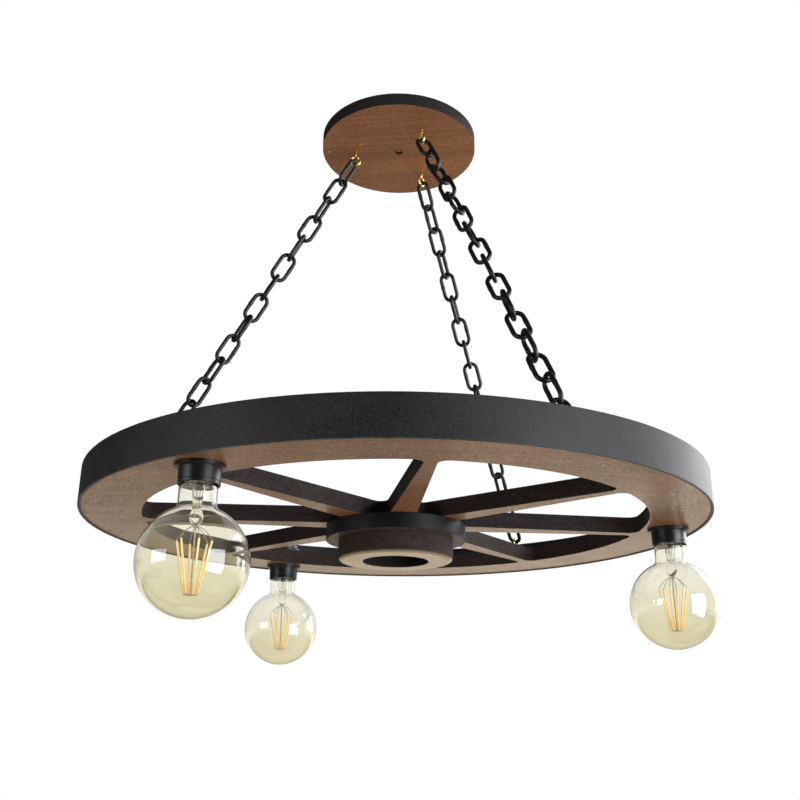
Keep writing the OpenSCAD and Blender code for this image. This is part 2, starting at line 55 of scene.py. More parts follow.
LAMPS = CHAINS = (1, 2, 3)
UNDERSIDE_Z, TOP_Z = (corner.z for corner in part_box("wheel_plate"))
TYRE_LOW, TYRE_HIGH = (corner.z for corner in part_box("tyre_band"))
GLASS_LOW, GLASS_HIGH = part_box("bulb_glass_1")
GLOBE_R = (GLASS_HIGH.y - GLASS_LOW.y) / 2
GLOBE_Z = GLASS_LOW.z + GLOBE_R
GLOBE_DROP = UNDERSIDE_Z - GLOBE_Z    # from the wheel's underside to the globe's middle

SAME_POINT = 1e-7    # vertices nearer than this are one vertex
SEAM = 2e-6          # the same for the seams of spun shapes and of CAD meshes


def middle(node):
    """The middle of a CAD node's box."""
    low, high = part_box(node)
    return (low + high) / 2


def lamp_place(k):
    """The point on the wheel's underside that lamp k is centred on."""
    m = middle(f"holder_ring_{k}")
    return Vector((m.x, m.y, UNDERSIDE_Z))


# ---- Sizes and colours that can be changed ----

def length_prop(name, description, default):
    return FloatProperty(name=name, description=description, default=default, min=0.0,
                         subtype="DISTANCE", unit="LENGTH", precision=4)


def colour_prop(name, description, default):
    return FloatVectorProperty(name=name, description=description, default=default, size=3,
                               min=0.0, max=1.0, subtype="COLOR")


def power_prop(name, description, default):
    return FloatProperty(name=name, description=description, default=default, min=0.0,
                         unit="POWER")


class WoodSettings(bpy.types.PropertyGroup):
    edge: length_prop("Eased edge", "Width of the rounding on sawn edges", 0.0011)
    face: colour_prop("Face stain", "Thin stain on the faces", (0.158, 0.070, 0.028))
    face_deep: colour_prop("Deep stain", "Stain in the grain", (0.072, 0.029, 0.0105))
    # Colours of the sawn walls: partly a deeper stain, partly painted shade for walls that little
    # light reaches
    wall_pale_stain_and_shade: colour_prop("Cut wall", "Pale streaks of sawn walls", (0.035, 0.017, 0.013))
    wall_deep_stain_and_shade: colour_prop("Deep cut wall", "Their dark streaks", (0.013, 0.0065, 0.005))
    # Inside this radius the hub is painted near-black as shade in the hole
    bore: length_prop("Axle hole", "Radius of the hub's hole, dark inside", 0.036)
    rose: colour_prop("Ceiling plate", "Stain of its face", (0.285, 0.117, 0.038))
    rose_deep: colour_prop("Ceiling plate grain", "Stain in its grain", (0.150, 0.053, 0.015))


class SteelSettings(bpy.types.PropertyGroup):
    edge: length_prop("Eased edge", "Width of the rounding on the tyre's edges", 0.0006)
    paint: colour_prop("Paint", "Charcoal paint of the tyre", (0.011, 0.011, 0.011))
    rubbed: colour_prop("Rubbed paint", "Paint rubbed thin at edges", (0.10, 0.10, 0.105))


class ChainSettings(bpy.types.PropertyGroup):
    link_length: length_prop("Link length", "Outer length of a link", 0.0409)
    link_width: length_prop("Link width", "Outer width of a link", 0.0215)
    wire: length_prop("Wire", "Thickness of the link's wire", 0.0048)
    pitch: length_prop("Pitch", "Distance between the middles of two links", 0.031)
    first: length_prop("First link", "Distance of its end from its eye's middle", 0.0020)
    count: IntProperty(name="Links", description="Links in a chain", default=16, min=1)
    twist: FloatProperty(name="Twist", description="Turn from one link to the next",
                         default=radians(96), subtype="ANGLE", unit="ROTATION")
    weld: length_prop("Weld", "How far the weld stands out of the wire", 0.00035)
    paint: colour_prop("Paint", "Black paint of the chain", (0.004, 0.004, 0.004))


class EyeSettings(bpy.types.PropertyGroup):
    ring: length_prop("Ring", "Radius of the ring's centre line", 0.006)
    wire: length_prop("Wire", "Thickness of the brass wire", 0.0026)
    rise: length_prop("Rise", "Height of the ring's middle over the wood", 0.014)
    shank: length_prop("Shank", "Depth of the shank in the wood", 0.012)
    brass: colour_prop("Brass", "Bright brass of the eyes", (0.83, 0.53, 0.20))


class HolderSettings(bpy.types.PropertyGroup):
    radius: length_prop("Radius", "Radius of the holder's body", 0.0185)
    drop: length_prop("Drop", "Length of the holder below the wheel", 0.0185)
    top: length_prop("Top", "Height of the shoulder over the wheel's underside", 0.028)
    colour: colour_prop("Resin", "Black moulded resin", (0.006, 0.006, 0.007))


class BulbSettings(bpy.types.PropertyGroup):
    wall: length_prop("Wall", "Thickness of the glass", 0.0008)
    neck: length_prop("Neck", "Radius of the glass neck", 0.0167)
    tint: colour_prop("Tint", "Amber tint of the lower half", (0.862, 0.830, 0.665))
    clear: colour_prop("Clear", "Tint of the glass near the neck", (0.95, 0.94, 0.87))
    stick: colour_prop("Filament", "Coating of the filament sticks", (0.94, 0.70, 0.35))


class StudioSettings(bpy.types.PropertyGroup):
    focal: FloatProperty(name="Focal length", description="Lens on a 36 mm wide sensor",
                         default=42.6024, min=10.0, unit="CAMERA")
    key: power_prop("Side light", "Strength that the windows share", 62.0)
    under: power_prop("Floor light", "Strength of the light from below", 46.0)
    wash: power_prop("Floor wash", "Strength of the light on the floor", 175.0)
    paper: colour_prop("Paper", "Colour of the floor", (0.86, 0.82, 0.76))


class ChandelierSettings(bpy.types.PropertyGroup):
    wood: PointerProperty(type=WoodSettings)
    steel: PointerProperty(type=SteelSettings)
    chain: PointerProperty(type=ChainSettings)
    eye: PointerProperty(type=EyeSettings)
    holder: PointerProperty(type=HolderSettings)
    bulb: PointerProperty(type=BulbSettings)
    studio: PointerProperty(type=StudioSettings)


# ---- Working on meshes ----

def deselect():
    """Object mode, with nothing selected."""
    if bpy.context.object and bpy.context.object.mode != "OBJECT":
        bpy.ops.object.mode_set(mode="OBJECT")
    bpy.ops.object.select_all(action="DESELECT")


def pick(obj):
    """Makes obj the only selected object, and the active one."""
    deselect()
    obj.select_set(True)
    bpy.context.view_layer.objects.active = obj


def edit(mode="VERT"):
    bpy.ops.object.mode_set(mode="EDIT")
    bpy.ops.mesh.select_mode(type=mode)


def leave_edit():
    bpy.ops.object.mode_set(mode="OBJECT")


def take_all():
    bpy.ops.mesh.select_all(action="SELECT")


def merge_doubles(gap):
    take_all()
    bpy.ops.mesh.remove_doubles(threshold=gap)


def face_outward():
    """Turns every face outward and leaves edit mode."""
    take_all()
    bpy.ops.mesh.normals_make_consistent(inside=False)
    leave_edit()


def extrude(kind, move):
    """In edit mode, extrudes the selected vertices, edges or region by a move."""
    getattr(bpy.ops.mesh, f"extrude_{kind}_move")(TRANSFORM_OT_translate={"value": move})


def select_where(test, kind="verts"):
    """In edit mode, selects the vertices, edges or faces that pass the test."""
    bm = bmesh.from_edit_mesh(bpy.context.object.data)
    for part in (bm.faces, bm.edges, bm.verts):
        for item in part:
            item.select = False
    for item in getattr(bm, kind):
        if test(item):
            item.select_set(True)
    bm.select_flush_mode()
    bmesh.update_edit_mesh(bpy.context.object.data)


def draw_to_radius(r):
    """In edit mode, moves the selected vertices to a radius about Z."""
    mesh = bpy.context.object.data
    bm = bmesh.from_edit_mesh(mesh)
    for v in bm.verts:
        if v.select:
            v.co.xy = v.co.xy.normalized() * r
    bmesh.update_edit_mesh(mesh)


def apply_modifier(obj, kind, **settings):
    """Adds one modifier to the active object and applies it."""
    modifier = obj.modifiers.new(kind.title(), kind)
    for key, value in settings.items():
        setattr(modifier, key, value)
    bpy.ops.object.modifier_apply(modifier=modifier.name)


def named(obj, name):
    obj.name = name
    obj.data.name = name
    return obj


def settled(name):
    """Names the primitive just added, and puts its place into its mesh."""
    bpy.ops.object.transform_apply(location=True, rotation=True, scale=True)
    return named(bpy.context.object, name)


def finish_piece(obj, body, node, finish, angle=35):
    """Smooth shading, a finish, and what the piece stands for."""
    pick(obj)
    bpy.ops.object.shade_smooth_by_angle(angle=radians(angle))
    obj.data.materials.clear()
    obj.data.materials.append(finished(finish))
    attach(obj, body)
    if node:
        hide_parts(node)


def placed_copy(source, name, matrix):
    """A copy of a finished shape with its own mesh, moved inside that mesh."""
    pick(source)
    bpy.ops.object.duplicate()
    bpy.context.object.matrix_world = matrix
    return settled(name)


def joined(pieces, name):
    """Several meshes made one."""
    deselect()
    for piece in pieces:
        piece.select_set(True)
    bpy.context.view_layer.objects.active = pieces[0]
    bpy.ops.object.join()
    return named(bpy.context.object, name)


def drop(obj):
    pick(obj)
    bpy.ops.object.delete()


def arc(centre, r, start, end, steps):
    """Points on an arc, in degrees, from start to end."""
    turn = [radians(start + (end - start) * i / steps) for i in range(steps + 1)]
    return [(centre[0] + r * cos(a), centre[1] + r * sin(a)) for a in turn]


def first_point(name, place):
    """A new object of one vertex, left in edit mode with that vertex selected."""
    deselect()
    bpy.ops.mesh.primitive_plane_add(size=0.001, location=place)
    obj = settled(name)
    edit()
    take_all()
    bpy.ops.mesh.merge(type="CENTER")
    return obj


def lathe(name, profile, steps, closed=True):
    """Draws a profile of (radius, height) points in the XZ plane and spins it round Z."""
    obj = first_point(name, (profile[0][0], 0, profile[0][1]))
    for a, b in zip(profile, profile[1:] + (profile[:1] if closed else [])):
        extrude("vertices", (b[0] - a[0], 0, b[1] - a[1]))
    merge_doubles(SAME_POINT)
    bpy.ops.mesh.spin(steps=steps, angle=2 * pi, center=(0, 0, 0), axis=(0, 0, 1))
    merge_doubles(SEAM)
    face_outward()
    return obj


def eased_copy(node, name, width):
    """A merged copy of a CAD node with its edges eased, as sandpaper or a file leaves them."""
    obj = bpy.data.objects.new(name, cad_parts[node].data.copy())
    bpy.context.scene.collection.objects.link(obj)
    pick(named(obj, name))
    edit()
    merge_doubles(SEAM)
    bpy.ops.mesh.dissolve_limited(angle_limit=radians(0.2))
    leave_edit()
    apply_modifier(obj, "BEVEL", width=width, segments=2, limit_method="ANGLE",
                   angle_limit=radians(40), miter_outer="MITER_ARC", use_clamp_overlap=True)
    return obj


def eased_pieces(body, rows, flat=True):
    """Eased copies for rows of node, name, width, slot and finish. Weighted normals keep
    broad faces flat beside their eased edges."""
    for node, name, width, slot, finish in rows:
        piece = eased_copy(node, name, width)
        finish_piece(piece, body, node, finish)
        if flat:
            apply_modifier(piece, "WEIGHTED_NORMAL", keep_sharp=True, weight=80)


# ---- Node trees ----

MIX_FACTOR, MIX_A, MIX_B, MIX_COLOUR = 0, 6, 7, 2    # a colour Mix node's sockets
SURFACE = {"Color": "Color", "Roughness": "Float", "Height": "Float"}


def feed(tree, node, values):
    """Puts values or links on a node's inputs."""
    for key, value in values.items():
        if isinstance(value, bpy.types.NodeSocket):
            tree.links.new(value, node.inputs[key])
        else:
            node.inputs[key].default_value = value


def put(tree, kind, inputs={}, **settings):
    """A node with its settings, and values or links on its inputs."""
    node = tree.nodes.new(kind)
    for key, value in settings.items():
        setattr(node, key, value)
    feed(tree, node, inputs)
    return node


def rgba(colour):
    return (*colour[:3], 1.0)


def ranged(tree, value, low, high, to_low=0.0, to_high=1.0, smooth=True):
    node = put(tree, "ShaderNodeMapRange",
               {"Value": value, "From Min": low, "From Max": high,
                "To Min": to_low, "To Max": to_high},
               interpolation_type="SMOOTHSTEP" if smooth else "LINEAR")
    return node.outputs["Result"]


def maths(tree, operation, a, b=0.0):
    return put(tree, "ShaderNodeMath", {0: a, 1: b}, operation=operation).outputs[0]


def mul(tree, a, b):
    return maths(tree, "MULTIPLY", a, b)


def add(tree, a, b):
    return maths(tree, "ADD", a, b)


def sub(tree, a, b):
    return maths(tree, "SUBTRACT", a, b)


def axis(tree, vector, letter):
    return put(tree, "ShaderNodeSeparateXYZ", {0: vector}).outputs[letter]


def mixed(tree, factor, a, b):
    """Two colours mixed by a factor."""
    node = put(tree, "ShaderNodeMix", {MIX_FACTOR: factor, MIX_A: a, MIX_B: b},
               data_type="RGBA")
    return node.outputs[MIX_COLOUR]


def noise(tree, coords, scale, detail=4.0, rough=0.55, stretch=(1, 1, 1)):
    place = put(tree, "ShaderNodeMapping", {"Vector": coords, "Scale": stretch})
    node = put(tree, "ShaderNodeTexNoise", {"Vector": place.outputs[0], "Scale": scale,
                                            "Detail": detail, "Roughness": rough})
    return node.outputs["Fac"]


def group_of(name, inputs, outputs):
    """An empty shader node group: its tree, its inputs' sockets and its output node."""
    tree = bpy.data.node_groups.new(name, "ShaderNodeTree")
    for way, sockets in (("INPUT", inputs), ("OUTPUT", outputs)):
        for label, kind in sockets.items():
            tree.interface.new_socket(name=label, in_out=way, socket_type=f"NodeSocket{kind}")
    given = tree.nodes.new("NodeGroupInput").outputs
    return tree, given, tree.nodes.new("NodeGroupOutput")


def wood_grain_group():
    """Stained wood: long streaks, dark pores, cloudy stain and a fine tooth."""
    tree, given, out = group_of(
        "stained_grain",
        {"Vector": "Vector", "Pale": "Color", "Deep": "Color", "Streaks": "Float",
         "Tooth": "Float"},
        {**SURFACE, "Grit": "Float"})
    coords, strength = given["Vector"], given["Tooth"]
    # Noises by scale, detail, roughness and stretch, which is long along the grain, X
    streaks = noise(tree, coords, 260.0, 5.0, 0.6, (0.035, 1, 1))
    rings = noise(tree, coords, 34.0, 3.0, 0.5, (0.08, 1, 1))
    clouds = noise(tree, coords, 7.0, 3.0, 0.5)
    tooth = noise(tree, coords, 420.0, 2.0, 0.8)
    specks = noise(tree, coords, 1700.0, 2.0, 0.8)
    pores = ranged(tree, noise(tree, coords, 520.0, 2.0, 0.5, (0.05, 1, 1)), 0.62, 0.72)
    lines = mul(tree, ranged(tree, streaks, 0.32, 0.70), given["Streaks"])
    bands = mul(tree, ranged(tree, rings, 0.35, 0.68), given["Streaks"])
    grit = mul(tree, ranged(tree, tooth, 0.42, 0.58), strength)
    # How much of the deep stain each of them brings
    soak = mul(tree, lines, 0.45)
    for part, share in ((bands, 0.30), (ranged(tree, clouds, 0.3, 0.7), 0.32), (grit, 0.55),
                        (pores, 0.30)):
        soak = add(tree, soak, mul(tree, part, share))
    soak = maths(tree, "MINIMUM", soak, 1.0)
    colour = mixed(tree, soak, given["Pale"], given["Deep"])
    flecks = mul(tree, ranged(tree, specks, 0.58, 0.74), mul(tree, strength, 0.35))
    feed(tree, out, {
        "Color": mixed(tree, flecks, colour, given["Pale"]),
        "Roughness": ranged(tree, soak, 0.0, 1.0, 0.42, 0.62, False),
        "Grit": ranged(tree, tooth, 0.40, 0.60),
        "Height": sub(tree, mul(tree, tooth, 0.6), mul(tree, pores, 0.4))})
    return tree


def satin_paint_group():
    """Satin paint on metal or resin: a fine tooth, faint clouds and a few paler flecks."""
    tree, given, out = group_of(
        "satin_paint",
        {"Vector": "Vector", "Paint": "Color", "Fleck": "Color", "Tooth scale": "Float",
         "Gloss": "Float"}, SURFACE)
    tooth = put(tree, "ShaderNodeTexNoise", {
        "Vector": given["Vector"], "Scale": given["Tooth scale"], "Detail": 3.0,
        "Roughness": 0.7}).outputs["Fac"]
    clouds = noise(tree, given["Vector"], 16.0, 4.0, 0.6)
    flecks = mul(tree, ranged(tree, tooth, 0.42, 0.60), 0.75)
    cloudy = mul(tree, ranged(tree, clouds, 0.35, 0.70), 0.35)
    amount = maths(tree, "MINIMUM", add(tree, flecks, cloudy), 1.0)
    rough = add(tree, given["Gloss"], mul(tree, clouds, 0.14))
    feed(tree, out, {
        "Color": mixed(tree, amount, given["Paint"], given["Fleck"]),
        "Roughness": add(tree, rough, ranged(tree, tooth, 0.40, 0.60, -0.04, 0.05)),
        "Height": tooth})
    return tree


def rubbed_band_group():
    """A mask for paint rubbed thin near two heights, broken up by noise."""
    tree, given, out = group_of(
        "rubbed_band", {"Vector": "Vector", "Low": "Float", "High": "Float",
                        "Width": "Float"}, {"Mask": "Float"})
    z = axis(tree, given["Vector"], "Z")
    below = maths(tree, "ABSOLUTE", sub(tree, z, given["Low"]))
    above = maths(tree, "ABSOLUTE", sub(tree, z, given["High"]))
    near = maths(tree, "DIVIDE", maths(tree, "MINIMUM", below, above), given["Width"])
    line = ranged(tree, near, 1.0, 0.0)
    patches = ranged(tree, noise(tree, given["Vector"], 120.0, 5.0, 0.7), 0.42, 0.66)
    feed(tree, out, {"Mask": mul(tree, line, patches)})
    return tree


def cut_wall_group():
    """A mask that is 1 on walls cut square to the flat faces, from the object's own normal; it
    places the walls' darker colour, which is partly stain and partly painted shade.
    """
    tree, given, out = group_of("cut_wall", {"Normal": "Vector"}, {"Mask": "Float"})
    flat = maths(tree, "ABSOLUTE", axis(tree, given["Normal"], "Z"))
    feed(tree, out, {"Mask": ranged(tree, flat, 0.85, 0.45)})
    return tree


def tarnish_group():
    """Bright metal that has dulled in patches."""
    tree, given, out = group_of(
        "tarnish", {"Vector": "Vector", "Metal": "Color", "Dull": "Color"}, SURFACE)
    patches = ranged(tree, noise(tree, given["Vector"], 140.0, 5.0, 0.65), 0.45, 0.72)
    feed(tree, out, {
        "Color": mixed(tree, mul(tree, patches, 0.55), given["Metal"], given["Dull"]),
        "Roughness": ranged(tree, patches, 0.0, 1.0, 0.20, 0.40, False),
        "Height": noise(tree, given["Vector"], 1500.0, 2.0, 0.6)})
    return tree


GROUPS = {"stained_grain": wood_grain_group, "satin_paint": satin_paint_group,
          "rubbed_band": rubbed_band_group, "cut_wall": cut_wall_group,
          "tarnish": tarnish_group}


def use_group(tree, group, inputs):
    """The outputs of a shared effect, which is built when it is first used."""
    shared = bpy.data.node_groups.get(group) or GROUPS[group]()
    return put(tree, "ShaderNodeGroup", inputs, node_tree=shared).outputs


def new_material(name):
    """A node material with one Principled BSDF, and its texture coordinates."""
    made = bpy.data.materials.new(name)
    made.use_nodes = True
    tree = made.node_tree
    return made, tree, tree.nodes["Principled BSDF"], tree.nodes.new("ShaderNodeTexCoord").outputs


def bumped(tree, height, distance):
    """A normal bent by a height, with the bump's depth in metres."""
    return put(tree, "ShaderNodeBump", {"Height": height, "Distance": distance,
                                        "Strength": 1.0}).outputs[0]


def wood_material(name, pale, deep, wall_pale_stain_and_shade, wall_deep_stain_and_shade, streaks=0.4, tooth=1.0, turn=0.0,
                  varnish=0.8, bore=0.0):
    """Stained wood whose sawn walls are darker than its faces, partly from more stain and partly
    as painted shade; the inside of a bore is painted near-black as shade.
    """
    made, tree, shader, coords = new_material(name)
    grain_way = put(tree, "ShaderNodeMapping", {"Vector": coords["Object"],
                                                "Rotation": (0, 0, turn)}).outputs[0]
    face = use_group(tree, "stained_grain", {
        "Vector": grain_way, "Pale": rgba(pale), "Deep": rgba(deep),
        "Streaks": streaks, "Tooth": tooth})
    wall = use_group(tree, "stained_grain", {
        "Vector": grain_way, "Pale": rgba(wall_pale_stain_and_shade), "Deep": rgba(wall_deep_stain_and_shade),
        "Streaks": 1.0, "Tooth": 0.6})
    # Painted shade: walls picked by this normal mask take the darker wall colour, which is partly
    # deeper stain
    mask = use_group(tree, "cut_wall", {"Normal": coords["Normal"]})["Mask"]
    colour = mixed(tree, mask, face["Color"], wall["Color"])
    # Painted shade: inside the axle hole's radius the wood is painted near-black, for the hole's
    # unlit inside
    if bore:
        level = put(tree, "ShaderNodeVectorMath", {0: coords["Object"], 1: (1, 1, 0)},
                    operation="MULTIPLY").outputs[0]
        across = put(tree, "ShaderNodeVectorMath", {0: level}, operation="LENGTH").outputs[1]
        bore_painted_shade = rgba((0.002, 0.0015, 0.0015))
        colour = mixed(tree, ranged(tree, across, 1.02 * bore, 1.005 * bore), colour, bore_painted_shade)
    # The varnish is worn at the tooth's high spots, and the sawn walls have none
    worn = ranged(tree, face["Grit"], 0.0, 1.0, varnish, 0.35 * varnish, False)
    feed(tree, shader, {
        "Base Color": colour,
        "Roughness": add(tree, face["Roughness"], mul(tree, mask, 0.35)),
        "Coat Weight": mul(tree, worn, sub(tree, 1.0, mask)),
        "Coat Roughness": 0.22,
        "Specular IOR Level": 0.3,
        "Normal": bumped(tree, face["Height"], 0.00035)})
    return made


def painted_material(name, paint, fleck, tooth_scale, gloss, specular, bump=0.0002,
                     rubbed=None, low=0.0, high=0.0):
    """Satin paint, rubbed thin near the low and high edge where it has a rubbed colour."""
    made, tree, shader, coords = new_material(name)
    coat = use_group(tree, "satin_paint", {
        "Vector": coords["Object"], "Paint": rgba(paint), "Fleck": rgba(fleck),
        "Tooth scale": tooth_scale, "Gloss": gloss})
    colour = coat["Color"]
    if rubbed is not None:
        mask = use_group(tree, "rubbed_band", {
            "Vector": coords["Object"], "Low": low, "High": high, "Width": 0.0012})["Mask"]
        colour = mixed(tree, mul(tree, mask, 0.3), colour, rgba(rubbed))
    feed(tree, shader, {"Base Color": colour, "Roughness": coat["Roughness"],
                        "Specular IOR Level": specular,
                        "Normal": bumped(tree, coat["Height"], bump)})
    return made


def metal_material(name, metal, dull):
    made, tree, shader, coords = new_material(name)
    metal_out = use_group(tree, "tarnish", {"Vector": coords["Object"], "Metal": rgba(metal),
                                            "Dull": rgba(dull)})
    feed(tree, shader, {"Base Color": metal_out["Color"], "Roughness": metal_out["Roughness"],
                        "Metallic": 1.0, "Normal": bumped(tree, metal_out["Height"], 0.00003)})
    return made


def ceramic_material(name, pale, deep):
    """Glazed ceramic with faint clouds."""
    made, tree, shader, coords = new_material(name)
    clouds = noise(tree, coords["Object"], 300.0, 3.0)
    feed(tree, shader, {
        "Base Color": mixed(tree, ranged(tree, clouds, 0.4, 0.7), rgba(pale), rgba(deep)),
        "Roughness": ranged(tree, clouds, 0.3, 0.7, 0.18, 0.32),
        "Coat Weight": 0.6})
    return made


def glass_material(name, low_tint, high_tint, low_z, high_z):
    """Clear glass whose amber tint deepens downward; light passes it without dark shadows."""
    made, tree, shader, coords = new_material(name)
    vector = coords["Object"]
    drift = mul(tree, noise(tree, vector, 30.0, 2.0), 0.02)
    height = ranged(tree, add(tree, axis(tree, vector, "Z"), drift), low_z, high_z)
    smears = noise(tree, vector, 70.0, 5.0, 0.6)
    feed(tree, shader, {
        "Base Color": mixed(tree, height, rgba(low_tint), rgba(high_tint)),
        "Transmission Weight": 1.0,
        "IOR": 1.46,
        "Roughness": ranged(tree, smears, 0.5, 0.8, 0.0, 0.05)})
    path = tree.nodes.new("ShaderNodeLightPath").outputs
    clear = put(tree, "ShaderNodeBsdfTransparent", {"Color": (0.97, 0.95, 0.88, 1.0)})
    both = put(tree, "ShaderNodeMixShader", {0: path["Is Shadow Ray"], 1: shader.outputs[0],
                                             2: clear.outputs[0]})
    feed(tree, tree.nodes["Material Output"], {"Surface": both.outputs[0]})
    return made


def filament_material(name, stick, crest, burnt):
    """A coating with faint beads along each stick, browner at its lower end."""
    made, tree, shader, coords = new_material(name)
    bead_length = 0.0016
    z = axis(tree, coords["Object"], "Z")
    beads = maths(tree, "SINE", mul(tree, z, 2 * pi / bead_length))
    low = ranged(tree, z, GLOBE_Z - 0.012, GLOBE_Z - 0.026)
    coat = mixed(tree, ranged(tree, beads, -1.0, 1.0, 0.0, 0.35), rgba(stick), rgba(crest))
    feed(tree, shader, {
        "Base Color": mixed(tree, mul(tree, low, 0.6), coat, rgba(burnt)),
        "Roughness": ranged(tree, beads, -1.0, 1.0, 0.35, 0.5),
        "Normal": bumped(tree, beads, 0.00008)})
    return made


def recipes():
    """Every finish: what makes it, and from which values."""
    s = bpy.context.scene.chandelier
    wood, steel, bulb = s.wood, s.steel, s.bulb
    # The wall colours carry painted shade as well as stain; the hub's walls get a copy painted
    # 1.3 times lighter
    walls = dict(wall_pale_stain_and_shade=wood.wall_pale_stain_and_shade, wall_deep_stain_and_shade=wood.wall_deep_stain_and_shade)
    hub_walls = {key: [1.3 * c for c in colour] for key, colour in walls.items()}
    black_fleck = (0.010, 0.010, 0.011)
    return {
        "rim_wood": (wood_material, dict(
            pale=wood.face, deep=wood.face_deep, streaks=0.35, **walls)),
        "rose_wood_stain": (wood_material, dict(
            pale=wood.rose, deep=wood.rose_deep, streaks=0.8, tooth=0.9, turn=radians(8),
            **walls)),
        "hub_wood": (wood_material, dict(
            pale=(0.225, 0.165, 0.095), deep=(0.15, 0.10, 0.055), bore=wood.bore,
            **hub_walls)),
        # Painted shade: the hub disc is coloured near-black all over, for the shadow on its
        # underside under the band
        "hub_disc_wood": (wood_material, dict(
            pale=(0.045, 0.030, 0.022), deep=(0.022, 0.014, 0.010), varnish=0.15, **walls)),
        "tyre_paint": (painted_material, dict(
            paint=steel.paint, fleck=(0.046, 0.046, 0.050), tooth_scale=820.0, gloss=0.46,
            specular=0.2, rubbed=steel.rubbed, low=TYRE_LOW, high=TYRE_HIGH)),
        "hub_band_paint": (painted_material, dict(
            paint=(0.005, 0.005, 0.006), fleck=(0.012, 0.013, 0.016), tooth_scale=700.0,
            gloss=0.35, specular=0.12)),
        "chain_paint": (painted_material, dict(
            paint=s.chain.paint, fleck=black_fleck, tooth_scale=900.0, gloss=0.38,
            specular=0.3)),
        "resin": (painted_material, dict(
            paint=s.holder.colour, fleck=black_fleck, tooth_scale=600.0, gloss=0.28,
            specular=0.35, bump=0.00004)),
        "bright_brass": (metal_material, dict(metal=s.eye.brass, dull=(0.55, 0.34, 0.13))),
        "nickel_plate": (metal_material, dict(
            metal=(0.72, 0.70, 0.66), dull=(0.50, 0.47, 0.42))),
        "lead_wire": (metal_material, dict(metal=(0.42, 0.40, 0.37), dull=(0.20, 0.18, 0.16))),
        "glazed_ceramic": (ceramic_material, dict(
            pale=(0.82, 0.80, 0.74), deep=(0.70, 0.67, 0.60))),
        "amber_glass": (glass_material, dict(
            low_tint=bulb.tint, high_tint=bulb.clear, low_z=GLOBE_Z - 0.02,
            high_z=GLOBE_Z + 0.05)),
        "stem_glass": (glass_material, dict(
            low_tint=(0.97, 0.97, 0.93), high_tint=(0.98, 0.98, 0.96), low_z=GLOBE_Z,
            high_z=GLOBE_Z + 0.05)),
        "filament_coating": (filament_material, dict(
            stick=bulb.stick, crest=(0.98, 0.80, 0.46), burnt=(0.85, 0.38, 0.07))),
    }


FINISHES = {}    # the materials made so far


def finished(name):
    """The material of a finish, made when it is first asked for."""
    if name not in FINISHES:
        maker, values = recipes()[name]
        FINISHES[name] = maker(name, **values)
    return FINISHES[name]


# ---- Pieces ----

class CHANDELIER_OT_wheel(bpy.types.Operator):
    """Eases the edges of the wooden wheel and gives it its stained grain"""
    bl_idname = "chandelier.wheel"
    bl_label = "Wooden wheel"

    def execute(self, context):
        wood = context.scene.chandelier.wood
        eased_pieces("wheel", [
            ("wheel_plate", "wheel_panel", wood.edge, "wood_wheel", "rim_wood")])
        return {"FINISHED"}


class CHANDELIER_OT_tyre(bpy.types.Operator):
    """Files the tyre's edges round and paints it charcoal"""
    bl_idname = "chandelier.tyre"
    bl_label = "Tyre"

    def execute(self, context):
        steel = context.scene.chandelier.steel
        eased_pieces("wheel", [
            ("tyre_band", "tyre", steel.edge, "steel_tyre", "tyre_paint")])
        return {"FINISHED"}


class CHANDELIER_OT_hub(bpy.types.Operator):
    """Builds the hub's disc, band, boss and screws"""
    bl_idname = "chandelier.hub"
    bl_label = "Hub"

    def execute(self, context):
        wood = context.scene.chandelier.wood
        steel = context.scene.chandelier.steel
        eased_pieces("wheel", [
            # The hub plate's finish is painted shade: near-black all over, for the shadow under
            # it
            ("hub_disc", "hub_plate", wood.edge, "wood_hub", "hub_disc_wood"),
            ("hub_band", "hub_hoop", 0.8 * steel.edge, "steel_tyre", "hub_band_paint"),
            ("hub_boss", "hub_nave", wood.edge, "wood_hub", "hub_wood"),
            ("hub_screws", "hub_screw_set", 0.0003, "nickel", "nickel_plate")])
        return {"FINISHED"}


class CHANDELIER_OT_ceiling_plate(bpy.types.Operator):
    """Eases the ceiling plate and finishes its screw, washer, pin and terminal block"""
    bl_idname = "chandelier.ceiling_plate"
    bl_label = "Ceiling plate"

    def execute(self, context):
        wood = context.scene.chandelier.wood
        eased_pieces("ceiling", [
            ("canopy_disc", "ceiling_rose", wood.edge, "wood_canopy", "rose_wood_stain"),
            ("canopy_screw", "ceiling_screw", 0.00035, "brass", "bright_brass"),
            ("canopy_washer", "ceiling_washer", 0.0001, "brass", "bright_brass"),
            ("canopy_pin", "panel_pin", 0.0002, "brass", "bright_brass"),
            ("terminal_block", "connector_block", 0.0004, "ceramic", "glazed_ceramic"),
            ("terminal_screws", "connector_screws", 0.0002, "brass", "bright_brass")])
        return {"FINISHED"}


